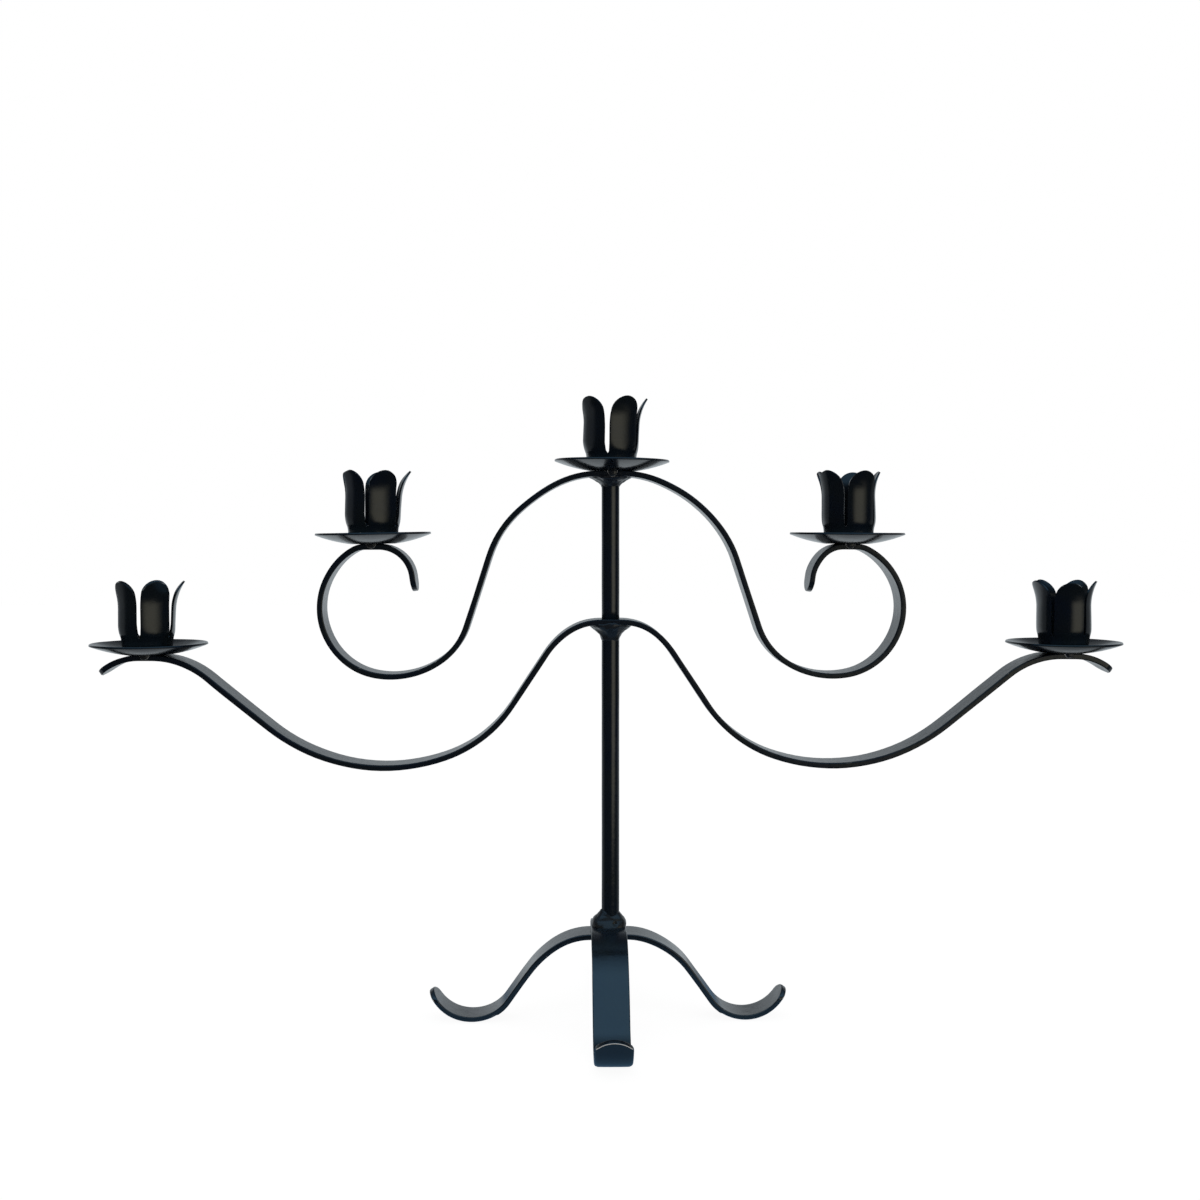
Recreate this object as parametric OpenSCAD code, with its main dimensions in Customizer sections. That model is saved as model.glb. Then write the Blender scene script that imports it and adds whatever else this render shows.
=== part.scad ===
// Five-light table candelabrum, forged from flat bar and round rod.
// Two crossed and bent bars are the feet. A rod stem carries a wide lower arm, which
// swings out to two candles, and a tall upper arm, whose scrolled ends carry two more.
// The fifth candle stands on top. The origin is on the table, under the stem.

/* [Stock] */
// Width of the flat bar that the feet and the arms are bent from
bar_w = 16; // [12:0.5:19]
// Thickness of the flat bar
bar_t = 2.5; // [2:0.1:3.2]
// Radius of the rounded bar ends, seen square to the bar
tip_r = 10; // [9.6:0.2:14]
// Diameter of the round rod that the stem is cut from
rod_d = 8; // [6:0.2:10]

/* [Feet] */
// Height of the side bar's middle line where the two bars cross
base_h = 38.5; // [33:0.5:46]
// Bend radius at the crown of the base bars
base_crown_r = 34; // [28:0.5:40]
// Slope of the legs below level, in degrees
leg_slope = 54.5; // [48:0.5:60]
// Bend radius of the feet
foot_r = 19; // [14:0.5:22]
// How far the feet curl up above level, in degrees
foot_curl = 56; // [30:1:75]

/* [Lower arm] */
// Distance from the stem to the middle of an outer candle
lower_reach = 206.5; // [198:0.5:240]
// Height of the seat of the outer drip pans
lower_seat_h = 165.9; // [158:0.1:178]
// Height of the top of the lower arm at the stem
lower_top_h = 181.6; // [176:0.2:192]
// Bend radius where the lower arm leaves the stem
lower_crown_r = 30; // [27:0.5:40]
// Slope of the lower arm below its crown, in degrees
lower_fall = 56.5; // [54:0.5:60]
// Bend radius on the inner side of the dip
dip_in_r = 59; // [54:1:70]
// Bend radius on the outer side of the dip
dip_out_r = 82; // [72:1:90]
// Slope at which the inner side of the dip passes into the outer side, in degrees
dip_join = 19; // [8:0.5:24]
// Slope of the lower arm on its way up to the outer pans, in degrees
lower_rise = 39; // [34:0.5:42]
// Bend radius of the brow under the outer pans
brow_r = 38; // [30:0.5:48]
// Bend radius of the arm's end beyond the outer pans
lower_end_r = 25.5; // [18:0.5:40]
// How far the arm's end bends down beyond the pans, in degrees
lower_end_fall = 35; // [12:1:40]

/* [Upper arm] */
// Distance from the stem to the middle of an inner candle
upper_reach = 106.8; // [102:0.2:112]
// Height of the seat of the inner drip pans
upper_seat_h = 215.2; // [210:0.2:222]
// Height of the top of the upper arm, which is the seat of the centre pan
upper_top_h = 247.8; // [243:0.2:256]
// Slope of the upper arm above its scroll, in degrees
upper_fall = 71.7; // [69:0.1:76]
// Bend radius at the heel of the scroll
heel_r = 30.5; // [24:0.5:32]
// Slope at which the heel passes into the belly, in degrees below level
heel_join = 35; // [30:0.5:40]
// Bend radius of the belly, under the scroll
belly_r = 38.3; // [34:0.1:42]
// Slope at which the belly passes into the outer side, in degrees above level
belly_join = 10.6; // [5:0.2:16]
// Bend radius of the outer side of the scroll
loop_r = 29.7; // [27:0.1:33]
// Slope at which the outer side passes into the crest, in degrees above level
loop_join = 28.3; // [20:0.1:34]
// Bend radius of the crest, on the outer side of the inner pans
crest_r = 11; // [8:0.5:14]
// Bend radius at the inner end of the scroll
curl_r = 15; // [11:0.5:18]
// How far the inner end of the scroll bends down, in degrees
curl_turn = 82; // [60:1:95]
// Straight end of the scroll above its rounded tip
curl_end = 2.5; // [0.5:0.5:8]

/* [Drip pans] */
// Radius of a pan at its rim
pan_r = 25.8; // [22:0.2:30]
// Thickness of the pan's sheet
pan_t = 1; // [0.7:0.1:1.5]
// Width of the pan's flat floor beyond the tack weld on the bar's edge
pan_land = 0.1; // [0:0.1:2]
// Slope of the pan's wall where it leaves the floor, in degrees
pan_wall_in = 8; // [5:1:12]
// Slope of the pan's wall at the rim, in degrees
pan_wall_out = 22; // [16:1:28]
// Bend radius between the floor and the wall
pan_bend_r = 6; // [3:0.5:9]

/* [Candle cups] */
// Inner diameter of a cup at its petals, for a 22 mm candle
cup_d = 22.5; // [21:0.1:24]
// Thickness of the cup's sheet
cup_t = 0.8; // [0.6:0.1:1.2]
// Inner bend radius between the cup's floor and its closed ring
cup_bend_r = 3; // [1.5:0.1:3.4]
// Height of the closed ring below the slots between the petals
ring_h = 7; // [4:0.5:12]
// How much narrower the closed ring is than the petals, on each side
ring_step = 0.55; // [0.1:0.05:0.9]
// Height at which the petals' roots start to bend out to their full width
root_h = 5; // [4.8:0.1:8]
// Bend radius of the petals' roots
root_r = 10; // [6:0.5:14]
// Height at which the petals start to flare
flare_h = 19.5; // [15:0.5:23]
// Bend radius of the flare
flare_r = 25; // [20:0.5:32]
// Height of a cup to the tips of its petals
cup_h = 32; // [29:0.5:34]
// Number of petals
petals = 5; // [4:1:6]
// Width of the round-bottomed slots between the petals
slot_w = 1.1; // [0.6:0.1:1.6]

/* [Rivets and welds] */
// Diameter of the rivets that hold cup and pan to the bar
rivet_d = 4; // [3:0.1:5]
// Diameter of a rivet's domed head
rivet_head_d = 7.2; // [6.4:0.1:9]
// Height of a rivet's domed head
rivet_head_h = 1.4; // [0.8:0.1:1.8]
// How much wider a rivet's countersunk tail is than its shank
rivet_tail = 1.6; // [0.8:0.1:2.4]
// Depth of the countersink in the bar's underside
rivet_tail_h = 1; // [0.6:0.1:1.4]
// Width of the flat that a bar has beyond a weld, on each side
flat_land = 0.2; // [0:0.1:1]
// Reach of the bead round the foot of the stem, out from the rod
foot_bead = 4; // [2.5:0.1:5]
// Height of the bead round the foot of the stem
foot_bead_h = 6.5; // [5:0.1:8]
// Height at which that bead is widest
foot_bead_mid = 2; // [1:0.1:3]
// Reach of the fillets under the arms, out from the rod
arm_fillet = 4.8; // [3:0.1:6]
// Height of the fillets under the arms
arm_fillet_h = 5.6; // [4:0.1:7]
// Thickness of those fillets at their lower edge
arm_fillet_toe = 0.4; // [0.2:0.1:1]
// Leg length of the two beads under the crossing
cross_bead = 2.2; // [1.4:0.1:2.8]
// Width of the tack weld between a pan and its bar
tack_w = 5.6; // [4:0.1:7]
// How far a tack weld stands out from the bar's edge
tack_t = 1.3; // [0.8:0.1:2]
// Height of a tack weld below the pan
tack_h = 3.4; // [2.4:0.1:4]

/* [Hidden] */
// Colours of the black paint, of the paint over the welds and of the worn rivets
paint = [0.09, 0.10, 0.11];
weld_paint = [0.12, 0.13, 0.14];
rivet_paint = [0.16, 0.16, 0.16];

// Places of the candles: name, seat of the drip pan, turn of the petals in degrees
PLACES = [
    ["centre", [0, 0, upper_top_h], 0],
    ["upper_left", [-upper_reach, 0, upper_seat_h], 11],
    ["upper_right", [upper_reach, 0, upper_seat_h], 1],
    ["lower_left", [-lower_reach, 0, lower_seat_h], 15],
    ["lower_right", [lower_reach, 0, lower_seat_h], -24]
];

$fn = 96;

// Longest step of a bend in a bar or a sheet, in degrees
bend_step = 5;

// How far a cutter runs past what it cuts
spare = 1;

// A tip's arc starts a little inside the bar's full width, and the tip is cut from a
// bar that is a little too long
tip_lead = 0.5;
tip_waste = 0.4;
tip_len = tip_r - sqrt(pow(tip_r, 2) - pow(bar_w / 2, 2)) + tip_lead;

// Flats: the front bar lies across the side bar, the arms on the rod and the pans on
// the arms, where the tack weld is the widest thing
base_flat = bar_w;
arm_flat = rod_d + 2 * flat_land;
seat_flat = tack_w + 2 * flat_land;

// Every bar is a chain of runs from the stem outwards. A run is [length, 0] for a
// straight and [radius, turn] for a bend, where a bend to the left turns by more than 0.
// The two helpers give how far a bend runs along and up, from slope a to slope b.
function bend_along(r, a, b) = r * abs(sin(b) - sin(a));
function bend_up(r, a, b) = r * abs(cos(b) - cos(a));

// Legs: the straight makes up the height that the bends leave over
crown_drop = bend_up(base_crown_r, 0, leg_slope);
foot_drop = bend_up(foot_r, 0, leg_slope);
function leg_runs(h) = [
    [base_flat / 2, 0],
    [base_crown_r, -leg_slope],
    [(h - bar_t / 2 - crown_drop - foot_drop) / sin(leg_slope), 0],
    [foot_r, leg_slope],
    [foot_r, foot_curl]
];
front_h = base_h + bar_t;
crossing_top = front_h + bar_t / 2;

// Lower arm: its two straights, on the way down and on the way up, bring its brow to
// the outer candle's seat
lower_along = lower_reach - arm_flat / 2 - bend_along(lower_crown_r, 0, lower_fall)
    - bend_along(dip_in_r, lower_fall, dip_join) - bend_along(dip_out_r, -dip_join, lower_rise)
    - bend_along(brow_r, 0, lower_rise) - seat_flat / 2;
lower_climb = lower_seat_h - lower_top_h + bend_up(lower_crown_r, 0, lower_fall)
    + bend_up(dip_in_r, lower_fall, dip_join) - bend_up(dip_out_r, dip_join, lower_rise)
    - bend_up(brow_r, 0, lower_rise);
lower_det = sin(lower_fall + lower_rise);
lower_down = (lower_along * sin(lower_rise) - lower_climb * cos(lower_rise)) / lower_det;
lower_up = (lower_along * sin(lower_fall) + lower_climb * cos(lower_fall)) / lower_det;
lower_runs = [
    [arm_flat / 2, 0],
    [lower_crown_r, -lower_fall],
    [lower_down, 0],
    [dip_in_r, lower_fall - dip_join],
    [dip_out_r, dip_join + lower_rise],
    [lower_up, 0],
    [brow_r, -lower_rise],
    [seat_flat, 0],
    [lower_end_r, -lower_end_fall]
];

// Upper arm: its crown radius and its straight bring the crest of the scroll to the
// inner candle's seat
scroll_along = bend_along(heel_r, upper_fall, heel_join)
    + bend_along(belly_r, -heel_join, belly_join) + bend_along(loop_r, belly_join, loop_join)
    - bend_along(crest_r, 0, loop_join) - seat_flat / 2;
scroll_climb = bend_up(loop_r, belly_join, 180 - loop_join) + bend_up(crest_r, 0, loop_join)
    - bend_up(heel_r, upper_fall, heel_join) - bend_up(belly_r, heel_join, belly_join);
upper_along = upper_reach - arm_flat / 2 - scroll_along;
upper_drop = upper_top_h - upper_seat_h + scroll_climb;
upper_det = pow(sin(upper_fall), 2) - cos(upper_fall) * (1 - cos(upper_fall));
upper_crown_r = (upper_along * sin(upper_fall) - upper_drop * cos(upper_fall)) / upper_det;
upper_down = (upper_drop * sin(upper_fall) - upper_along * (1 - cos(upper_fall))) / upper_det;
upper_runs = [
    [arm_flat / 2, 0],
    [upper_crown_r, -upper_fall],
    [upper_down, 0],
    [heel_r, upper_fall - heel_join],
    [belly_r, heel_join + belly_join],
    [loop_r, 180 - loop_join - belly_join],
    [crest_r, loop_join],
    [seat_flat, 0],
    [curl_r, curl_turn],
    [curl_end, 0]
];

// Stems stand between the bars
lower_stem_len = lower_top_h - bar_t - crossing_top;
upper_stem_len = upper_top_h - bar_t - lower_top_h;

// Pan: its floor reaches past the tack weld, and its wall curves from there to the rim
pan_floor_r = bar_w / 2 + tack_t + pan_land;
pan_wall_r = (pan_r - pan_floor_r - bend_along(pan_bend_r, 0, pan_wall_in))
    / (sin(pan_wall_out) - sin(pan_wall_in));
pan_runs = [
    [pan_floor_r - rivet_d / 2, 0],
    [pan_bend_r, pan_wall_in],
    [pan_wall_r, pan_wall_out - pan_wall_in]
];

// Cup: a bend out and one back take up the step from the closed ring to the petals. The
// flare runs a little past the petals' tips, which the cutter then rounds. Above the radius
// that they have just inside the flare, the petals get no wider.
flare_waste = 1.5;
flare_turn = asin((cup_h + flare_waste - flare_h) / flare_r);
root_turn = acos(1 - ring_step / 2 / root_r);
cup_r = cup_d / 2 + cup_t;
petal_lead = 0.1;
petal_r = cup_r + petal_lead;
petal_w = 2 * petal_r * sin(180 / petals - asin(slot_w / 2 / petal_r));
slot_end_h = ring_h + slot_w / 2;
cup_runs = [
    [cup_d / 2 - ring_step - cup_bend_r - rivet_d / 2, 0],
    [cup_bend_r + cup_t / 2, 90],
    [root_h - cup_bend_r - cup_t, 0],
    [root_r, -root_turn],
    [root_r, root_turn],
    [flare_h - root_h - 2 * root_r * sin(root_turn), 0],
    [flare_r, -flare_turn]
];

// Stations [x, z, heading] along a chain of runs from station p. Bends are stepped.
function steps(turn) = max(1, ceil(abs(turn) / bend_step));
function after(p, run, share) = run[1] == 0
    ? [p[0] + run[0] * share * cos(p[2]), p[1] + run[0] * share * sin(p[2]), p[2]]
    : let (s = sign(run[1]), h = p[2] + run[1] * share)
        [p[0] + s * run[0] * (sin(h) - sin(p[2])), p[1] - s * run[0] * (cos(h) - cos(p[2])), h];
function stations(runs, p, i = 0) = i == len(runs) ? [p] : concat(
    [for (k = [0 : steps(runs[i][1]) - 1]) after(p, runs[i], k / steps(runs[i][1]))],
    stations(runs, after(p, runs[i], 1), i + 1)
);
function edge(path, out) = [for (p = path) [p[0] - out * sin(p[2]), p[1] + out * cos(p[2])]];
function backwards(list) = [for (k = [len(list) - 1 : -1 : 0]) list[k]];
function mirrored(path) = [for (p = path) [-p[0], p[1], -p[2]]];

// A strip of thickness t seen on edge, along a path of stations
module strip_outline(path, t) {
    polygon(concat(edge(path, t / 2), backwards(edge(path, -t / 2))));
}

// A bar bent alike on both sides of the stem, with round tips, its middle line at
// height h where it crosses the stem
module two_sided_bar(runs, h) {
    half = stations(concat(runs, [[tip_len + tip_waste, 0]]), [0, h, 0]);
    path = concat(backwards(mirrored(half)), [for (k = [1 : len(half) - 1]) half[k]]);
    difference() {
        translate([0, bar_w / 2, 0])
            rotate([90, 0, 0])
            linear_extrude(bar_w)
            strip_outline(path, bar_t);
        for (side = [0, 1])
            mirror([side, 0, 0])
                tip_corners(half[len(half) - 1]);
    }
}

// What the rounded tip leaves off the square end of a bar
module tip_corners(end) {
    translate([end[0], 0, end[1]])
        rotate([0, -end[2], 0])
        translate([-tip_waste, 0, -bar_t])
        difference() {
            translate([-tip_len, -bar_w, 0])
                cube([tip_len + spare, bar_w * 2, bar_t * 2]);
            translate([-tip_r, 0, -spare])
                cylinder(r = tip_r, h = bar_t * 2 + spare * 2);
        }
}

// Hole for a rivet in the bar under a seat, opened out below for the tail
module rivet_hole(seat) {
    translate(seat - [0, 0, bar_t])
        rivet_shank(bar_t);
}

// Shank from the bar's underside, where its tail fills the countersink flush
module rivet_shank(length) {
    cylinder(d = rivet_d, h = length);
    cylinder(d1 = rivet_d + rivet_tail, d2 = rivet_d, h = rivet_tail_h);
}

// Sheet bent along a chain of runs from the rivet's hole outwards, and spun
module spun_sheet(runs, t) {
    rotate_extrude()
        strip_outline(stations(runs, [rivet_d / 2, t / 2, 0]), t);
}

module drip_pan(seat) {
    color(paint)
        translate(seat)
        spun_sheet(pan_runs, pan_t);
}

// Cup: floor, bend, wall and flare in one profile, cut into petals with round tips
module candle_cup(seat, turn) {
    color(paint)
        translate(seat + [0, 0, pan_t])
        rotate(turn)
        difference() {
            intersection() {
                spun_sheet(cup_runs, cup_t);
                petal_cutter();
            }
            for (k = [0 : petals - 1])
                through_wall((k + 0.5) * 360 / petals)
                    slot_outline();
        }
}

// The closed ring of the cup and, above it, one upright tongue for each petal
module petal_cutter() {
    cylinder(r = cup_r + spare, h = slot_end_h);
    for (k = [0 : petals - 1])
        through_wall(k * 360 / petals)
            petal_outline();
}

// An outline seen from outside, carried through the cup's wall on one side
module through_wall(turn) {
    rotate([90, 0, 90 + turn])
        translate([0, 0, cup_r / 2])
        linear_extrude(cup_r * 2)
        children();
}

module petal_outline() {
    translate([-petal_w / 2, ring_h / 2])
        square([petal_w, cup_h - petal_w / 2 - ring_h / 2]);
    translate([0, cup_h - petal_w / 2])
        circle(d = petal_w);
}

module slot_outline() {
    translate([-slot_w / 2, slot_end_h])
        square([slot_w, cup_h]);
    translate([0, slot_end_h])
        circle(d = slot_w);
}

// Rivet: a domed head on the cup's floor, a shank through cup, pan and bar
module rivet(seat) {
    dome_r = (pow(rivet_head_d / 2, 2) + pow(rivet_head_h, 2)) / (2 * rivet_head_h);
    color(rivet_paint)
        translate(seat) {
            translate([0, 0, -bar_t])
                rivet_shank(bar_t + pan_t + cup_t);
            translate([0, 0, pan_t + cup_t])
                intersection() {
                    translate([0, 0, rivet_head_h - dome_r])
                        sphere(dome_r);
                    cylinder(r = rivet_head_d, h = rivet_head_h + spare);
                }
        }
}

// Tack weld: a half-round bead down the bar's front edge from the pan's floor
module pan_tack(seat) {
    bead_r = (pow(tack_w / 2, 2) + pow(tack_t, 2)) / (2 * tack_t);
    color(weld_paint)
        translate(seat + [0, -bar_w / 2, -tack_h])
        intersection() {
            translate([0, bead_r - tack_t, 0])
                cylinder(r = bead_r, h = tack_h);
            translate([-tack_w / 2, -tack_t - spare, 0])
                cube([tack_w, tack_t + spare, tack_h]);
        }
}

module base_bar_side() {
    color(paint)
        two_sided_bar(leg_runs(base_h), base_h);
}

module base_bar_front() {
    color(paint)
        rotate(90)
        two_sided_bar(leg_runs(front_h), front_h);
}

// Two beads in the corners under the front bar, along the edges of the side bar
module cross_weld() {
    root = bar_t / 4;
    color(weld_paint)
        for (turn = [0, 180])
            rotate(turn)
            difference() {
                translate([-bar_w / 2, bar_w / 2, base_h + bar_t / 2])
                    rotate([90, 0, 90])
                    linear_extrude(bar_w)
                    polygon([[0, root], [0, -cross_bead], [cross_bead, -root], [cross_bead, root]]);
                base_bar_front();
            }
}

// Bead round the foot of the stem
module base_weld() {
    bead_r = foot_bead_h - foot_bead_mid;
    color(weld_paint)
        translate([0, 0, crossing_top])
        difference() {
            rotate_extrude()
                intersection() {
                    translate([rod_d / 2 + foot_bead - bead_r, foot_bead_mid])
                        circle(bead_r);
                    square([rod_d / 2 + foot_bead, foot_bead_h]);
                }
            cylinder(d = rod_d, h = foot_bead_h + spare);
        }
}

module lower_stem() {
    color(paint)
        translate([0, 0, crossing_top])
        cylinder(d = rod_d, h = lower_stem_len);
}

module lower_arm_bar() {
    color(paint)
        difference() {
            two_sided_bar(lower_runs, lower_top_h - bar_t / 2);
            rivet_hole([-lower_reach, 0, lower_seat_h]);
            rivet_hole([lower_reach, 0, lower_seat_h]);
        }
}

// Fillet between an arm's underside at height h and the rod below it
module arm_weld(h) {
    color(weld_paint)
        translate([0, 0, h - arm_fillet_h])
        difference() {
            cylinder(
                d1 = rod_d + 2 * arm_fillet_toe,
                d2 = rod_d + 2 * arm_fillet,
                h = arm_fillet_h
            );
            translate([0, 0, -spare])
                cylinder(d = rod_d, h = arm_fillet_h + 2 * spare);
        }
}

module mid_weld() {
    difference() {
        arm_weld(lower_top_h - bar_t);
        lower_arm_bar();
    }
}

module upper_stem() {
    color(paint)
        translate([0, 0, lower_top_h])
        cylinder(d = rod_d, h = upper_stem_len);
}

module upper_arm_bar() {
    color(paint)
        difference() {
            two_sided_bar(upper_runs, upper_top_h - bar_t / 2);
            rivet_hole([0, 0, upper_top_h]);
            rivet_hole([-upper_reach, 0, upper_seat_h]);
            rivet_hole([upper_reach, 0, upper_seat_h]);
        }
}

module top_weld() {
    difference() {
        arm_weld(upper_top_h - bar_t);
        upper_arm_bar();
    }
}

base_bar_side();
base_bar_front();
cross_weld();
base_weld();
lower_stem();
lower_arm_bar();
mid_weld();
upper_stem();
upper_arm_bar();
top_weld();
for (place = PLACES) {
    drip_pan(place[1]);
    candle_cup(place[1], place[2]);
    rivet(place[1]);
    pan_tack(place[1]);
}
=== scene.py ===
from math import acos, asin, atan2, ceil, copysign, cos, hypot, pi, radians, sin, sqrt

import bmesh
import bpy
from mathutils import Matrix, Vector, noise


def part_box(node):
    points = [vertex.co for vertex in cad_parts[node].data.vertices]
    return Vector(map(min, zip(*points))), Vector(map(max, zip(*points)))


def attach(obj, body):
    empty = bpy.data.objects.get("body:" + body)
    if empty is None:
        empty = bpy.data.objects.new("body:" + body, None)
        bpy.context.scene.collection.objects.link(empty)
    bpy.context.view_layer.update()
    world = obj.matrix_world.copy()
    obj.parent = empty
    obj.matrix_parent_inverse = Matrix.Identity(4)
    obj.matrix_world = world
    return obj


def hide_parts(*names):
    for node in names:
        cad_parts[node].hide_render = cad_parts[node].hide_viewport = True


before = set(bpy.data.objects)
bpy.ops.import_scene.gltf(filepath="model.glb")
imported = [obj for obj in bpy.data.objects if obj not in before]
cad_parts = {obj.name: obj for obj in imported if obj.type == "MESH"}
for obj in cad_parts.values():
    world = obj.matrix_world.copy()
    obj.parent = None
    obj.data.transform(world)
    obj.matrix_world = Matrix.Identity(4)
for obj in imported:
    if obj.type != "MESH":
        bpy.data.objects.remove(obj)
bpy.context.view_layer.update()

mm = 0.001

# Feet: two flat iron bars with rounded ends, each bent cold to a low bridge with upturned
# toes. The front bar lies across the side bar, and both are brushed over with black paint.
# They stand 1 mm to the left of the stem, and the hidden back leg is splayed a little.
foot_low, foot_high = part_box("base_bar_side")
bar_width = foot_high.y - foot_low.y
bar_thick = 2.5 * mm
bar_corner = 0.5 * mm
end_radius = 10 * mm
end_corner = 1.2 * mm
bar_tip = end_radius - sqrt(end_radius ** 2 - (bar_width / 2) ** 2) + 0.5 * mm
bar_lines = (-6.5, -4, 0, 4, 6.5)
bend_step, straight_step = radians(3), 5 * mm
hammer_depth, hammer_size = 0.10 * mm, 14 * mm
foot_slope = radians(54.5)
front_slope = foot_slope + radians(2.5)
foot_crown = 34 * mm
toe_radius = 19 * mm
toe_curl = radians(56)
front_curl = toe_curl + radians(8)
toe_length = 34 * mm
toe_flat = 6 * mm
toe_edge = 2 * mm
toe_easing = 0.8 * mm
toe_wear = 4 * mm
base_offset = -1.0 * mm
rear_splay = 0.045
side_slips = [
    (-85, -60, -40, -15, 0.9, 0), (-48, -30, -30, -10, 0.2, -0.6), (10, 28, 28, 46, 0, -0.5),
]
sharp_angle = radians(50)
worn_through = 2
paint_black = (0.0032, 0.0055, 0.0090)
cool_tint = (0.7, 0.9, 1.25)
warm_tint = (1.5, 1.35, 1.0)
rubbed_grey = (0.11, 0.12, 0.12)
# Light iron grey: bare iron where the toe tips are rubbed through, and the painted highlight on
# the tack welds' sides.
iron_and_highlight_grey = (0.50, 0.50, 0.48)


def plug(tree, socket, value):
    """Links a node's output to the socket, or sets the socket to a plain value."""
    if isinstance(value, bpy.types.Node):
        value = value.outputs[0]
    if isinstance(value, bpy.types.NodeSocket):
        tree.links.new(value, socket)
    else:
        socket.default_value = value


def add(tree, kind, *first, **given):
    """A shader node: first fills its sockets in order, given its settings and named sockets."""
    made = tree.nodes.new("ShaderNode" + kind)
    sockets = {name: value for name, value in given.items() if not hasattr(made, name)}
    for name in given.keys() - sockets.keys():
        setattr(made, name, given[name])
    for socket, value in zip(made.inputs, first):
        plug(tree, socket, value)
    for name, value in sockets.items():
        plug(tree, made.inputs[name.replace("_", " ")], value)
    return made


def blend(tree, share, low, high):
    """Goes from one colour to the other as share goes from 0 to 1."""
    mix = tree.nodes.new("ShaderNodeMix")
    mix.data_type = "RGBA"
    plug(tree, mix.inputs[0], share)
    for socket, colour in ((mix.inputs[6], low), (mix.inputs[7], high)):
        plug(tree, socket, (*colour, 1) if isinstance(colour, tuple) else colour)
    return mix.outputs[2]


def black_paint(name, tone, roughness, peel, dents, wear, shine=0.5):
    """Brushed black paint on iron, in soft patches, thin and rubbed along its eased edges,
    and gone down to the iron where they are rubbed through. The same iron grey, part way, is a
    painted highlight where a piece asks for it, as on the tack welds' sides."""
    material = bpy.data.materials.new(name)
    material.use_nodes = True
    tree = material.node_tree
    shader = tree.nodes["Principled BSDF"]
    place = add(tree, "TexCoord").outputs["Object"]
    patches = add(tree, "TexNoise", Vector=place, Scale=55, Detail=4, Roughness=0.6)
    grain = add(tree, "TexNoise", Vector=place, Scale=900, Detail=3, Roughness=0.55)
    waves = add(tree, "TexNoise", Vector=place, Scale=210, Detail=2, Roughness=0.5)
    rubbed = add(tree, "TexNoise", Vector=place, Scale=260, Detail=5, Roughness=0.7)
    # The attribute marks wear on the eased edges and toe tips, and the painted highlight on the
    # tack welds' sides.
    edge = add(tree, "Attribute", attribute_name="worn").outputs["Fac"]
    spread = 0.2 * wear
    bare = add(tree, "MapRange", rubbed, 0.72 - spread, 0.78 - spread, 0.0, 1.0)
    bare = add(tree, "Math", edge, bare, operation="MULTIPLY")
    cool = tuple(channel * level for channel, level in zip(tone, cool_tint))
    warm = tuple(channel * level for channel, level in zip(tone, warm_tint))
    soft = add(tree, "MapRange", patches, 0.35, 0.65, 0.0, 1.0)
    colour = blend(tree, soft, cool, warm)
    colour = blend(tree, bare, colour, rubbed_grey)
    # Past 1.65 the colour goes to light iron grey: bare iron at the rubbed-through toe tips, and
    # a painted highlight on the tack welds' sides at 1.85.
    through = add(tree, "MapRange", edge, 1.65, worn_through, 0.0, 1.0)
    colour = blend(tree, through, colour, iron_and_highlight_grey)
    plug(tree, shader.inputs["Base Color"], colour)
    plug(tree, shader.inputs["Specular IOR Level"], shine)
    sheen = add(tree, "MapRange", grain, 0.3, 0.7, roughness - 0.04, roughness + 0.05)
    dull = add(tree, "Math", bare, 0.25, operation="MULTIPLY")
    plug(tree, shader.inputs["Roughness"], add(tree, "Math", sheen, dull, operation="ADD"))
    rough = add(tree, "Bump", Height=grain, Strength=1.0, Distance=peel)
    uneven = add(tree, "Bump", Height=waves, Strength=1.0, Distance=dents, Normal=rough)
    plug(tree, shader.inputs["Normal"], uneven)
    return material


def run_length(run):
    """How much bar a run takes: [length, 0] is straight, [radius, turn] is a bend."""
    return run[0] * abs(run[1]) if run[1] else run[0]


def end_of(runs):
    """Where a chain of runs ends: outwards, up, and its slope."""
    out = up = slope = 0.0
    for size, turn in runs:
        if turn:
            arm = copysign(size, turn)
            out += arm * (sin(slope + turn) - sin(slope))
            up -= arm * (cos(slope + turn) - cos(slope))
            slope += turn
        else:
            out += size * cos(slope)
            up += size * sin(slope)
    return out, up, slope


def place_at(runs, length):
    """Where the middle line has got to after this length along the chain."""
    passed = []
    for size, turn in runs:
        whole = run_length([size, turn])
        share = min(1, length / whole)
        passed.append([size, turn * share] if turn else [size * share, 0])
        length -= whole * share
        if length <= 0:
            break
    return end_of([*passed, [length, 0]])


def slices(runs, past, turn_step, flat_step):
    """Lengths at which a blank is sliced, so that its bends come out smooth."""
    at, places = 0.0, []
    for run in [*runs, [past, 0]]:
        whole = run_length(run)
        count = ceil(abs(run[1]) / turn_step) if run[1] else max(1, ceil(whole / flat_step))
        places += [at + whole * k / count for k in range(count)]
        at += whole
    return places


def ease_edges(bm, size):
    """Rounds the sharp edges and marks the middle of each round for wear."""
    sharp = [edge for edge in bm.edges if edge.calc_face_angle(0) > sharp_angle]
    made = bmesh.ops.bevel(
        bm, geom=sharp, offset=size, segments=3, profile=0.5, affect="EDGES", material=-1,
        clamp_overlap=True
    )
    rounds = set(made["faces"])
    worn = bm.verts.layers.float.new("worn")
    for vert in bm.verts:
        vert[worn] = all(face in rounds for face in vert.link_faces)


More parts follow.
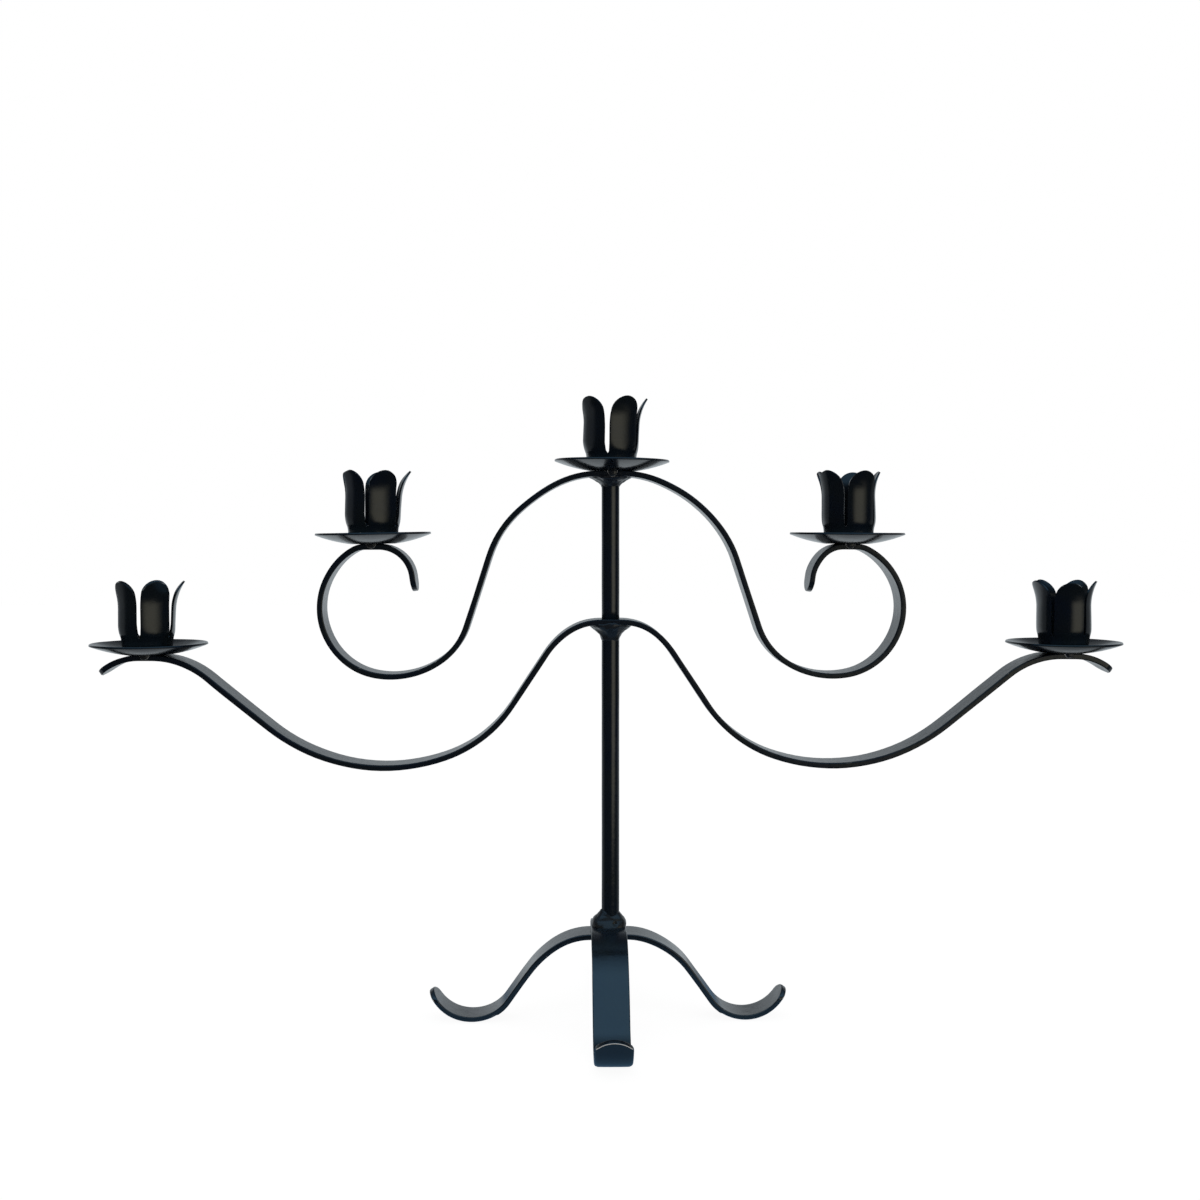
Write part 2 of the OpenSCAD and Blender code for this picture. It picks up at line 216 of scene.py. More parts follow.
def cut_blank(runs):
    """A straight piece of bar as long as the chain on both sides and the tips past it, with
    rounded ends and eased edges, sliced for bending."""
    half_length = sum(run_length(run) for run in runs) + bar_tip
    cuts = slices(runs, bar_tip, bend_step, straight_step)
    bm = bmesh.new()
    middle = half_length - end_radius
    spread = asin(bar_width / 2 / end_radius)
    for side in (1, -1):
        first = bm.verts.new((
            side * (middle + end_radius * cos(spread)), -side * bar_width / 2, -bar_thick / 2
        ))
        bmesh.ops.spin(
            bm, geom=[first], cent=(side * middle, 0, 0), axis=(0, 0, 1),
            angle=2 * spread, steps=14
        )
    bm.verts.ensure_lookup_table()
    ends = [vert for vert in bm.verts if len(vert.link_edges) == 1]
    for y in (-1, 1):
        bm.edges.new([vert for vert in ends if vert.co.y * y > 0])
    bmesh.ops.contextual_create(bm, geom=bm.edges[:])
    bmesh.ops.bevel(
        bm, geom=ends, offset=end_corner, segments=4, profile=0.5, affect="VERTICES",
        material=-1
    )
    planes = [((side * cut, 0, 0), (1, 0, 0)) for cut in cuts[1:] for side in (1, -1)]
    planes.append(((0, 0, 0), (1, 0, 0)))
    planes += [((0, y * mm, 0), (0, 1, 0)) for y in bar_lines]
    for point, facing in planes:
        bmesh.ops.bisect_plane(
            bm, geom=bm.verts[:] + bm.edges[:] + bm.faces[:], plane_co=point, plane_no=facing
        )
    top = bmesh.ops.extrude_face_region(bm, geom=bm.faces[:])
    top = [item for item in top["geom"] if isinstance(item, bmesh.types.BMVert)]
    bmesh.ops.translate(bm, verts=top, vec=(0, 0, bar_thick))
    bmesh.ops.recalc_face_normals(bm, faces=bm.faces[:])
    ease_edges(bm, bar_corner)
    return bm


def unevenness(bm, depth, size, seed):
    """Moves each point a little in or out, as hand work leaves it."""
    bm.normal_update()
    for vert, normal in [(vert, vert.normal.copy()) for vert in bm.verts]:
        vert.co += normal * depth * noise.noise(vert.co / size + Vector((seed, 0, 0)))


def eased(value, start, end):
    """Goes softly from 0 to 1 as the value goes from start to end."""
    share = max(0, min(1, (value - start) / (end - start)))
    return share * share * (3 - 2 * share)


def bend_bar(bm, runs, height, slips=()):
    """Bends a straight blank alike on both sides of the stem, but for the small slips of
    handwork: each says in mm where along the bar it starts, is full, is full last and ends,
    and how far it pushes the bar sideways and up."""
    for vert in bm.verts:
        along = vert.co.x / mm
        out, up, slope = place_at(runs, abs(vert.co.x))
        over = vert.co.z
        vert.co.x = copysign(out - over * sin(slope), vert.co.x)
        vert.co.z = height + up + over * cos(slope)
        for start, full, last, end, sideways, upwards in slips:
            share = eased(along, start, full) - eased(along, last, end)
            vert.co += Vector((sideways, 0, upwards)) * mm * share


def fit(name, bm, node, material):
    """Makes a finished piece of the mesh, which stands for its node."""
    mesh = bpy.data.meshes.new(name)
    bmesh.ops.recalc_face_normals(bm, faces=bm.faces[:])
    bm.to_mesh(mesh)
    bm.free()
    mesh.shade_smooth()
    mesh.materials.append(material)
    piece = bpy.data.objects.new(name, mesh)
    bpy.context.collection.objects.link(piece)
    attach(piece, "root")
    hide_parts(node)
    return piece


def even_shading(piece):
    """Keeps the flats flat and the eased edges round in the light."""
    finish = piece.modifiers.new("even shading", "WEIGHTED_NORMAL")
    finish.weight = 100


foot_finish = black_paint(
    "foot_paint_black", paint_black, 0.21, 0.02 * mm, 0.10 * mm, 0.5, shine=1.0
)


def foot_bar(name, node, heading, slope, curl, seed, slips=()):
    """One bar of the foot: its straights make up the height that its bends leave over. The
    toes' undersides are eased further at the sides, and rubbed through to the iron at the tips."""
    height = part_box(node)[1].z - bar_thick / 2
    drop = (foot_crown + toe_radius) * (1 - cos(slope))
    runs = [
        [bar_width / 2, 0],
        [foot_crown, -slope],
        [(height - bar_thick / 2 - drop) / sin(slope), 0],
        [toe_radius, slope],
        [toe_radius, curl],
    ]
    bm = cut_blank(runs)
    worn = bm.verts.layers.float["worn"]
    longest = max(vert.co.x for vert in bm.verts)
    for vert in bm.verts:
        if vert.co.z < 0 and abs(vert.co.x) > longest - toe_wear:
            vert[worn] *= worn_through
        if vert.co.z < 0 and abs(vert.co.x) > longest - toe_length:
            vert.co.z += toe_easing * max(0, (abs(vert.co.y) - toe_flat) / toe_edge) ** 2
    unevenness(bm, hammer_depth, hammer_size, seed)
    bend_bar(bm, runs, height, slips)
    bmesh.ops.rotate(bm, verts=bm.verts[:], matrix=Matrix.Rotation(heading, 3, "Z"))
    lowest = min(vert.co.z for vert in bm.verts)
    for vert in bm.verts:
        vert.co.x += base_offset + rear_splay * max(0, vert.co.y - bar_width / 2)
        vert.co.z -= lowest
    even_shading(fit(name, bm, node, foot_finish))


foot_bar("foot_bar_side", "base_bar_side", 0.0, foot_slope, toe_curl, 1, side_slips)
foot_bar("foot_bar_front", "base_bar_front", pi / 2, front_slope, front_curl, 2)

# Two short beads of weld hold the crossed bars together, in the corners under the front
# bar. Lumpy arc weld, painted over.
bead_size = (7.2 * mm, 1.5 * mm, 1.5 * mm)
bead_out = 0.5 * mm
bead_down = 0.6 * mm
weld_finish = black_paint(
    "weld_paint_black", (0.0085, 0.0100, 0.0120), 0.27, 0.03 * mm, 0.25 * mm, 0.4
)


def weld_lump(centre, spans, seed, depth=0.35 * mm, size=2.2 * mm):
    """A rounded lump of weld metal, rippled by the arc."""
    bm = bmesh.new()
    bmesh.ops.create_icosphere(bm, subdivisions=5, radius=1)
    bmesh.ops.scale(bm, verts=bm.verts[:], vec=spans)
    unevenness(bm, depth, size, seed)
    unevenness(bm, depth / 3, size / 3, seed + 5)
    bmesh.ops.translate(bm, verts=bm.verts[:], vec=centre)
    return bm


def together(*parts):
    """One mesh of several."""
    whole = bmesh.new()
    for part in parts:
        loose = bpy.data.meshes.new("loose")
        part.to_mesh(loose)
        part.free()
        whole.from_mesh(loose)
        bpy.data.meshes.remove(loose)
    return whole


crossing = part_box("base_bar_side")[1].z
beads = [
    weld_lump((base_offset, side * (bar_width / 2 + bead_out), crossing - bead_down),
              bead_size, 11 + side)
    for side in (-1, 1)
]
fit("crossing_beads", together(*beads), "cross_weld", weld_finish)

# Foot of the stem: the round rod stands on the crossed bars in a thick collar of weld. It is
# widest low down and runs out to the bar's edges. Its front is drawn in towards the rod above
# a low lip, and has a small pit.
rod_radius = 4 * mm
rod_step = 4 * mm
collar_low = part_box("base_weld")[0]
collar_shape = [(7.8, -0.5), (7.9, 0.4), (7.9, 1.2), (7.7, 2.1), (7.1, 3.2), (6.3, 4.1),
                (5.4, 5.0), (4.7, 5.9), (4.1, 6.9), (3.6, 7.2)]
collar_offset = 0.7 * base_offset
collar_front = 8 * mm
drawn_in = 0.38 * collar_front
lip_height = 3 * mm
lip_share = 0.6
pit = Vector((2.6, -5.6, 1.6)) * mm
pit_radius = 1.3 * mm
pit_depth = 0.9 * mm


def turned(outline, steps=72):
    """A round piece, spun from its half outline of (radius, height) points."""
    bm = bmesh.new()
    points = [bm.verts.new((radius, 0, height)) for radius, height in outline]
    chain = [bm.edges.new(pair) for pair in zip(points, points[1:])]
    bmesh.ops.spin(
        bm, geom=points + chain, cent=(0, 0, 0), axis=(0, 0, 1), angle=2 * pi, steps=steps,
        use_merge=True
    )
    bmesh.ops.remove_doubles(bm, verts=bm.verts[:], dist=0.001 * mm)
    bmesh.ops.recalc_face_normals(bm, faces=bm.faces[:])
    return bm


collar = turned([(radius * mm, height * mm) for radius, height in collar_shape])
bmesh.ops.subdivide_edges(collar, edges=collar.edges[:], cuts=2, use_grid_fill=True)
unevenness(collar, 0.30 * mm, 4 * mm, 21)
unevenness(collar, 0.10 * mm, 1.4 * mm, 25)
for vert in collar.verts:
    front = max(0, -vert.co.y / collar_front)
    lip = lip_share * max(0, lip_height - vert.co.z)
    vert.co.y += (drawn_in - lip) * front ** 2
    sunk = max(0, 1 - (vert.co - pit).length / pit_radius)
    vert.co.y += pit_depth * sunk
bmesh.ops.translate(collar, verts=collar.verts[:], vec=(collar_offset, 0, collar_low.z))
fit("stem_collar", collar, "base_weld", weld_finish)

# Lower stem: a length of 8 mm round rod between the feet and the lower arm. It is rolled
# bar, nearly true, under the same brushed paint.
rod_finish = black_paint(
    "rod_paint_black", paint_black, 0.20, 0.02 * mm, 0.06 * mm, 0.3, shine=0.65
)


def stem_rod(name, node, seed):
    """A length of rod, standing where its node stands."""
    low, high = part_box(node)
    rings = max(2, ceil((high.z - low.z) / rod_step))
    heights = [low.z + (high.z - low.z) * k / rings for k in range(rings + 1)]
    bm = turned([(0, low.z), *[(rod_radius, height) for height in heights], (0, high.z)])
    unevenness(bm, 0.05 * mm, 16 * mm, seed)
    even_shading(fit(name, bm, node, rod_finish))


stem_rod("stem_lower", "lower_stem", 31)

# Lower arm: one flat bar laid over the rod, which drops in a bow on each side, dips, and
# rises again to a flat seat for the outer candle, with its rounded end hanging past it. It
# is bent by hand, so its two sides differ by a few slips of a millimetre or so.
seats = {
    place: Vector((sum(corner.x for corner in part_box("drip_pan_" + place)) / 2, 0,
                   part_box("drip_pan_" + place)[0].z))
    for place in ("centre", "upper_left", "upper_right", "lower_left", "lower_right")
}
arm_flat = 8.4 * mm
seat_flat = 6.0 * mm
lower_crown = 30 * mm
lower_fall = radians(56.5)
dip_inner = 59 * mm
dip_outer = 82 * mm
dip_join = radians(19)
lower_rise = radians(39)
brow_radius = 38 * mm
lower_end_radius = 25.5 * mm
lower_end_fall = radians(35)
lower_slips = [
    (10, 32, 175, 220, -0.75, -0.5), (10, 32, 300, 301, -0.6, 0),
    (-240, -205, -32, -10, 0.3, -0.85),
]
bar_finish = black_paint("bar_paint_black", paint_black, 0.24, 0.02 * mm, 0.10 * mm, 0.5)


def settle(runs, open_runs, out, up):
    """Sizes the two open runs so that the chain ends this far out and up."""
    ends = []
    for sizes in ((0, 0), (1, 0), (0, 1)):
        for run, size in zip(open_runs, sizes):
            run[0] = size
        ends.append(Vector(end_of(runs)[:2]))
    first, second = ends[1] - ends[0], ends[2] - ends[0]
    wanted = Vector((out, up)) - ends[0]
    share = first.cross(second)
    open_runs[0][0] = wanted.cross(second) / share
    open_runs[1][0] = first.cross(wanted) / share


def arm_bar(name, node, runs, seed, slips):
    """An arm: a blank of the chain's length, bent over the stem."""
    bm = cut_blank(runs)
    unevenness(bm, hammer_depth, hammer_size, seed)
    bend_bar(bm, runs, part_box(node)[1].z - bar_thick / 2, slips)
    even_shading(fit(name, bm, node, bar_finish))


down, climb = [0, 0], [0, 0]
to_seat = [
    [arm_flat / 2, 0], [lower_crown, -lower_fall], down, [dip_inner, lower_fall - dip_join],
    [dip_outer, dip_join + lower_rise], climb, [brow_radius, -lower_rise], [seat_flat / 2, 0],
]
lower_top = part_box("lower_arm_bar")[1].z
settle(to_seat, (down, climb), seats["lower_right"].x, seats["lower_right"].z - lower_top)
arm_bar(
    "arm_lower", "lower_arm_bar",
    [*to_seat, [seat_flat / 2, 0], [lower_end_radius, -lower_end_fall]], 41, lower_slips
)

# A hollow fillet of weld under each arm joins it to the rod below, all round. It is as wide
# as the arm's edges let it be, lumpy and painted over.
fillet_shape = [(3.6, -6.6), (4.15, -6.2), (4.6, -5.0), (5.4, -3.8), (6.6, -2.6), (8.0, -1.6),
                (9.2, -0.8), (9.6, 0.2), (8.0, 0.8), (3.6, 0.8)]
fillet_reach = bar_width / 2 + 0.3 * mm


def arm_fillet(name, node, stretch, seed):
    """Weld run round the rod and up to the arm's edges."""
    bm = turned([(radius * mm, height * stretch * mm) for radius, height in fillet_shape])
    for vert in bm.verts:
        vert.co.y = max(-fillet_reach, min(fillet_reach, vert.co.y))
    bmesh.ops.subdivide_edges(bm, edges=bm.edges[:], cuts=1, use_grid_fill=True)
    unevenness(bm, 0.45 * mm, 3 * mm, seed)
    unevenness(bm, 0.15 * mm, 1.2 * mm, seed + 4)
    bmesh.ops.translate(bm, verts=bm.verts[:], vec=(0, 0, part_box(node)[1].z))
    fit(name, bm, node, weld_finish)


arm_fillet("fillet_lower", "mid_weld", 1.15, 51)

# Upper stem: the same rod goes on from the lower arm to the upper one. It stands on the
# lower arm's flat top and is welded under the upper arm.
stem_rod("stem_upper", "upper_stem", 33)

# Upper arm: one flat bar over the top of the rod, whose sides fall steeply and roll up
# outwards in scrolls. The inner candles stand on the crests of the scrolls. It has its own
# slips of handwork, the largest at the inner end of the right scroll.
upper_fall = radians(71.7)
heel_radius = 30.5 * mm
heel_join = radians(35)
belly_radius = 38.3 * mm
belly_join = radians(10.6)
loop_radius = 29.7 * mm
loop_join = radians(28.3)
crest_radius = 11 * mm
curl_radius = 15 * mm
curl_turn = radians(82)
curl_end = 2.5 * mm
upper_slips = [
    (-233, -210, -45, -15, 0.75, 0), (-301, -300, -45, -15, 0.6, 0),
    (-200, -160, -100, -45, 0.2, -0.5), (-65, -35, -35, -8, 0.7, -0.6),
    (8, 32, 42, 75, -0.8, -0.6), (45, 80, 150, 190, 0.1, -0.6), (125, 165, 200, 228, 0.35, 0),
    (238, 256, 400, 401, 1.3, -0.4),
]
crown, down = [0, -upper_fall], [0, 0]
to_seat = [
    [arm_flat / 2, 0], crown, down, [heel_radius, upper_fall - heel_join],
    [belly_radius, heel_join + belly_join], [loop_radius, pi - loop_join - belly_join],
    [crest_radius, loop_join], [seat_flat / 2, 0],
]
upper_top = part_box("upper_arm_bar")[1].z
settle(to_seat, (crown, down), seats["upper_right"].x, seats["upper_right"].z - upper_top)
arm_bar(
    "arm_upper", "upper_arm_bar",
    [*to_seat, [seat_flat / 2, 0], [curl_radius, curl_turn], [curl_end, 0]], 43, upper_slips
)
arm_fillet("fillet_upper", "top_weld", 0.72, 57)

# Drip pans: five shallow dishes spun from 1 mm sheet, flat where they sit on the arm, with
# a plain cut rim. Each is riveted through its middle and tacked to the arm's front edge. Some
# stand up to 0.6 mm to one side (pan_shift, in mm), and none is quite level (in degrees).
pan_thick = 1 * mm
rivet_radius = 2 * mm
rim_round = 0.3 * mm
pan_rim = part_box("drip_pan_centre")[1].x - 0.12 * mm
pan_floor = bar_width / 2 + 1.4 * mm
pan_bend = 6 * mm
pan_slope = radians(8)
rim_slope = radians(22)
pan_turn_step, pan_step, pan_sides = radians(1.2), 1.5 * mm, 144
pan_shift = {"centre": 0.6, "upper_left": 0.6, "upper_right": 0, "lower_left": 0,
             "lower_right": -0.6}
stands = {place: seat + Vector((pan_shift[place] * mm, 0, 0)) for place, seat in seats.items()}
pan_tilt = {"centre": 0.6, "upper_left": -0.9, "upper_right": 0.35, "lower_left": -0.3,
            "lower_right": 0.3}
sheet_finish = black_paint(
    "sheet_paint_black", (0.0028, 0.0045, 0.0070), 0.17, 0.015 * mm, 0.05 * mm, 0.45
)


def tilt(bm, place, lean):
    """Leans a pan or a cup a little to one side and stands it in its place on the arm."""
    bmesh.ops.rotate(bm, verts=bm.verts[:], matrix=Matrix.Rotation(radians(lean), 3, "Y"))
    bmesh.ops.translate(bm, verts=bm.verts[:], vec=stands[place])


def drip_pan(place, seed):
    """A flat ring of sheet, pressed to a dish along its chain of runs."""
    reach = pan_rim - pan_floor - pan_bend * sin(pan_slope) - pan_thick / 2 * sin(rim_slope)
    wall = reach / (sin(rim_slope) - sin(pan_slope))
    runs = [[pan_floor - rivet_radius, 0], [pan_bend, pan_slope], [wall, rim_slope - pan_slope]]
    cuts = slices(runs, 0.01 * mm, pan_turn_step, pan_step)
    bm = turned([(rivet_radius + cut, 0) for cut in cuts], pan_sides)
    top = bmesh.ops.extrude_face_region(bm, geom=bm.faces[:])
    top = [item for item in top["geom"] if isinstance(item, bmesh.types.BMVert)]
    bmesh.ops.translate(bm, verts=top, vec=(0, 0, pan_thick))
    bmesh.ops.recalc_face_normals(bm, faces=bm.faces[:])
    ease_edges(bm, rim_round)
    for vert in bm.verts:
        flat = Vector((vert.co.x, vert.co.y))
        out, up, slope = place_at(runs, flat.length - rivet_radius)
        over = vert.co.z - pan_thick / 2
        flat = flat.normalized() * (rivet_radius + out - over * sin(slope))
        vert.co = (flat.x, flat.y, pan_thick / 2 + up + over * cos(slope))
    unevenness(bm, 0.08 * mm, 12 * mm, seed)
    tilt(bm, place, pan_tilt[place])
    even_shading(fit("pan_" + place, bm, "drip_pan_" + place, sheet_finish))


for seed, place in enumerate(seats):
    drip_pan(place, 60 + seed)

# Tack welds: one drop of weld under each pan's front edge, run down over the edge of the
# bar. It is wide under the pan and narrows to a blunt lower end, and along its sides it carries
# a painted highlight in light iron grey. The four on the scrolls and ends are smaller than the
# one in the middle.
tack_low, tack_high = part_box("pan_tack_centre")
tack_reach = (tack_high.x - tack_low.x) / 2
tack_drop = (tack_high.z - tack_low.z) / 2
tack_depth = 1.5 * mm
tack_rise = 0.6 * mm
tack_taper = 0.28
tack_bluntness = 0.7
# How far the painted highlight on the tacks' sides goes towards light iron grey.
tack_highlight = 1.85
outer_tack = 0.75


def tack(place, seed):
    """A lump of weld, drawn out to a drop and hung on the bar's front edge."""
    size = 1.0 if place == "centre" else outer_tack
    bm = weld_lump((0, 0, 0), (1, 1, 1), seed, depth=0.1, size=0.9)
    worn = bm.verts.layers.float.new("worn")
    for vert in bm.verts:
        # Painted highlight: the band round the drop's sides, as it is seen from the front, goes
        # part way to light iron grey.
        vert[worn] = tack_highlight if -0.5 < vert.co.y < 0 else 0
        across = copysign(abs(vert.co.x) ** tack_bluntness, vert.co.x)
        down = copysign(abs(vert.co.z) ** tack_bluntness, vert.co.z)
        vert.co.x = across * tack_reach * (1 - tack_taper + tack_taper * down)
        vert.co.y *= tack_depth * size
        vert.co.z = (down - 1) * tack_drop * size + tack_rise
    bmesh.ops.translate(
        bm, verts=bm.verts[:], vec=stands[place] + Vector((0, -bar_width / 2, 0))
    )
    fit("tack_" + place, bm, "pan_tack_" + place, weld_finish)


for seed, place in enumerate(seats):
    tack(place, 71 + seed)

# Candle cups: sheet pressed to a cup with a closed ring below and five petals above, parted
# by narrow slots, with round tips that flare outwards. Each stands turned and leaning its own
# way (in degrees), and its petals are bent in or out and trimmed by hand (in mm).
cup_thick = 0.8 * mm
cup_inner = 11.25 * mm
cup_bend = 3 * mm
ring_step = 0.9 * mm
ring_height = 7 * mm
root_height = 3.9 * mm
root_radius = 12 * mm
flare_height = 19.5 * mm
flare_radius = 25 * mm
flare_turn = radians(40)
cup_height = 31.6 * mm
petals = 5
slot_half = 0.62 * mm
petal_round = 0.22 * mm
ring_rows, slot_rows, petal_rows, tip_rows = 26, 6, 22, 12
petal_columns = 16
cup_turn = {"centre": -0.5, "upper_left": 11, "upper_right": 1, "lower_left": 15,
            "lower_right": -24}
cup_shift = {"centre": -0.3, "upper_left": 0, "upper_right": 0.6, "lower_left": -0.6,
             "lower_right": 0}
cup_tilt = {"centre": 0.6, "upper_left": 0.0, "upper_right": 0.35, "lower_left": -0.3,
            "lower_right": 0.3}
petal_lean = {"centre": (1.0, 0.1, -0.4, -0.8, 0.1), "upper_left": (2.0, 0, -0.8, -1.2, 0.1),
              "upper_right": (-1.2, 0, 0.2, 0.3, 0), "lower_left": (1.6, 0.2, -0.4, -0.7, 0),
              "lower_right": (-1.0, 0, 0.2, 0.1, 0)}
petal_flat = {"centre": 0.45, "upper_left": 0.35, "upper_right": 0.1, "lower_left": 0.35,
              "lower_right": 0.1}
petal_drift = {"centre": 10, "upper_left": 0, "upper_right": 0, "lower_left": 0,
               "lower_right": 0}
petal_trim = {"centre": 0.0, "upper_left": 0.3, "upper_right": 0.2, "lower_left": 0.0,
              "lower_right": 0.8}


def cup_sheet():
    """One fifth of a cup is laid out flat, rolled to its form, and repeated round."""
    root_turn = acos(1 - ring_step / 2 / root_radius)
    middle = cup_inner + cup_thick / 2
    half_petal = middle * sin(pi / petals - asin(slot_half / middle))
    to_ring = [
        [cup_inner - ring_step - cup_bend - rivet_radius, 0],
        [cup_bend + cup_thick / 2, pi / 2],
        [root_height - cup_bend - cup_thick, 0],
    ]
    to_flare = [
        [root_radius, -root_turn], [root_radius, root_turn],
        [flare_height - root_height - 2 * root_radius * sin(root_turn), 0],
    ]
    runs = [*to_ring, *to_flare, [flare_radius, -flare_turn]]
    wall = sum(run_length(run) for run in to_ring)
    flare = wall + sum(run_length(run) for run in to_flare)
    ring = wall + ring_height - root_height
    tip_start = cup_height - half_petal

    def length_at(height):
        """Length along the sheet at which it reaches this height."""
        if height < flare_height:
            return wall + height - root_height
        return flare + flare_radius * asin((height - flare_height) / flare_radius)

    def half_turn(length, out):
        """Half of a petal's turn about the cup: its slots have round lower ends."""
        rise = max(0, min(1, (length - ring) / slot_half))
        slot = slot_half * sqrt(1 - (1 - rise) ** 2)
        return min(pi / petals - asin(slot / out), asin(min(1, half_petal / out)) if slot else pi)

    rows = [ring * k / ring_rows for k in range(ring_rows + 1)]
    rows += [ring + slot_half * (1 - cos(pi / 2 * (k + 1) / slot_rows)) for k in range(slot_rows)]
    for height, steps in ((tip_start, petal_rows), (cup_height, tip_rows)):
        start, rise = rows[-1], length_at(height) - rows[-1]
        rows += [start + rise * (k + 1) / steps for k in range(steps)]
    shoulder = rows[-1 - tip_rows]
    sheet = bmesh.new()
    bmesh.ops.create_grid(sheet, x_segments=petal_columns, y_segments=len(rows) - 1, size=1)
    for vert in sheet.verts:
        across = sin(vert.co.x * pi / 2)
        length = rows[round((vert.co.y + 1) / 2 * (len(rows) - 1))]
        if length > shoulder:
            arch = length_at(tip_start + half_petal * sqrt(max(0, 1 - across ** 2)))
            share = (length - shoulder) / (rows[-1] - shoulder)
            length = shoulder + share * (arch - shoulder)
        out, up = place_at(runs, length)[:2]
        out += rivet_radius
        turn = across * half_turn(length, out)
        vert.co = (out * cos(turn), out * sin(turn), up + cup_thick / 2)
    bmesh.ops.remove_doubles(sheet, verts=sheet.verts[:], dist=0.002 * mm)
    bmesh.ops.spin(
        sheet, geom=sheet.verts[:] + sheet.edges[:] + sheet.faces[:], cent=(0, 0, 0),
        axis=(0, 0, 1), angle=2 * pi, steps=petals, use_duplicate=True
    )
    bmesh.ops.remove_doubles(sheet, verts=sheet.verts[:], dist=0.01 * mm)
    bmesh.ops.recalc_face_normals(sheet, faces=sheet.faces[:])
    return sheet


def bend_petals(sheet, place):
    """Leans each petal in or out from the ring up, flattens its curve and moves it round a
    little. The last petal, at the front, is also trimmed."""

    def drifted(turn):
        """The front petal stands a little further round, and the others shift to suit."""
        return turn + radians(petal_drift[place]) * cos(turn + 2 * pi / petals)

    for vert in sheet.verts:
        turn = atan2(vert.co.y, vert.co.x)
        petal = round((turn % (2 * pi)) / (2 * pi / petals)) % petals
        share = max(0, (vert.co.z - ring_height) / (cup_height - ring_height))
        out = hypot(vert.co.x, vert.co.y) + petal_lean[place][petal] * mm * share ** 1.5
        vert.co.x, vert.co.y = out * cos(drifted(turn)), out * sin(drifted(turn))
        middle_turn = drifted(petal * 2 * pi / petals)
        facing = Vector((cos(middle_turn), sin(middle_turn), 0))
        hollow = hypot(vert.co.x, vert.co.y) - vert.co.dot(facing)
        vert.co += facing * hollow * petal_flat[place] * min(1, share * 5)
        if petal == petals - 1:
            vert.co.z -= petal_trim[place] * mm * share ** 3


def candle_cup(place):
    """A cup on its pan, with the sheet's thickness and its cut edges rounded."""
    sheet = cup_sheet()
    bend_petals(sheet, place)
    bmesh.ops.rotate(
        sheet, verts=sheet.verts[:], matrix=Matrix.Rotation(radians(cup_turn[place]), 3, "Z")
    )
    bmesh.ops.translate(
        sheet, verts=sheet.verts[:], vec=(cup_shift[place] * mm, 0, pan_thick)
    )
    tilt(sheet, place, cup_tilt[place])
    piece = fit("cup_" + place, sheet, "candle_cup_" + place, sheet_finish)
    wall = piece.modifiers.new("sheet", "SOLIDIFY")
    wall.thickness = cup_thick
    wall.offset = 0
    wall.use_even_offset = True
    rim = piece.modifiers.new("rim", "BEVEL")
    rim.width = petal_round
    rim.segments = 2
    rim.limit_method = "ANGLE"
    rim.angle_limit = sharp_angle
    even_shading(piece)


for place in seats:
    candle_cup(place)

# Rivets: a domed head on the cup's floor, a shank through cup, pan and bar, and a tail
# hammered into the countersunk hole in the bar's underside.
head_radius = 3.6 * mm
head_height = 1.4 * mm
tail_radius = 2.8 * mm
tail_height = 1 * mm
dome_steps = 10
rivet_finish = black_paint(
    "rivet_paint_black", (0.020, 0.020, 0.020), 0.30, 0.02 * mm, 0.2 * mm, 0.6
)
dome = (head_radius ** 2 + head_height ** 2) / (2 * head_height)
floor_top = pan_thick + cup_thick
for seed, place in enumerate(seats):
    outline = [(0, -bar_thick), (tail_radius, -bar_thick),
               (rivet_radius, -bar_thick + tail_height), (rivet_radius, floor_top)]
    for k in range(dome_steps + 1):
        angle = asin(head_radius / dome) * (1 - k / dome_steps)
        outline.append((dome * sin(angle), floor_top + head_height - dome * (1 - cos(angle))))
    bm = turned(outline, 48)
    unevenness(bm, 0.06 * mm, 1.5 * mm, 90 + seed)
    bmesh.ops.translate(bm, verts=bm.verts[:], vec=stands[place])
    fit("rivet_head_" + place, bm, "rivet_" + place, rivet_finish)

# Floor: a plain white sheet, which shows white to the camera with a faint shadow on it. In
# the gloss of the paint it is white behind the stand and fades into a dark room in front. It
# ends out of the picture, a little in front of the stand, and past it the gloss shows the room.
floor_wide, floor_front, floor_rear = 8.0, 0.36, 4.0
gloss_height = 0.20
room_dark = (0.015, 0.02, 0.03)
sheet_white = (0.82, 0.90, 0.95)
sheet_sides = (-0.08, 0.12)
sheet_middle = (0.45, 0.85, 0.28, 1.0)
sheet_foot = (-0.06, 0.06, 0.82, 0.62)
sheet_heights = ((0.30, 0.42, 1.0, 0.4), (0.45, 0.65, 1.0, 0.3), (0.7, 0.9, 1.0, 0.3))
window_warm = (0.96, 0.92, 0.73)
window_left = (radians(6), radians(27))
window_right = (radians(44), radians(74), 1.0, 0.0)
window_sill = (-0.42, -0.16)
window_head = (0.15, 0.42, 1.0, 0.0)
skylight_blue = (0.27, 0.55, 0.84)
skylight_reach = (-0.6, 0.35)
skylight_foot = (0.45, 0.65)
skylight_top = (0.90, 1.0, 1.0, 0.7)
table_blue = (0.08, 0.17, 0.28)
table_edge = (-0.80, -0.92)
bm = bmesh.new()
bmesh.ops.create_grid(bm, x_segments=1, y_segments=1, size=1)
bmesh.ops.scale(bm, verts=bm.verts[:], vec=(floor_wide / 2, (floor_front + floor_rear) / 2, 1))
bmesh.ops.translate(bm, verts=bm.verts[:], vec=(0, (floor_rear - floor_front) / 2, 0))
mesh = bpy.data.meshes.new("floor")
bm.to_mesh(mesh)
bm.free()
floor = bpy.data.objects.new("floor", mesh)
bpy.context.collection.objects.link(floor)


def fade(tree, value, start, end, first=0.0, last=1.0):
    """Goes softly from first to last as the value goes from start to end."""
    return add(tree, "MapRange", value, start, end, first, last,
               interpolation_type="SMOOTHSTEP")


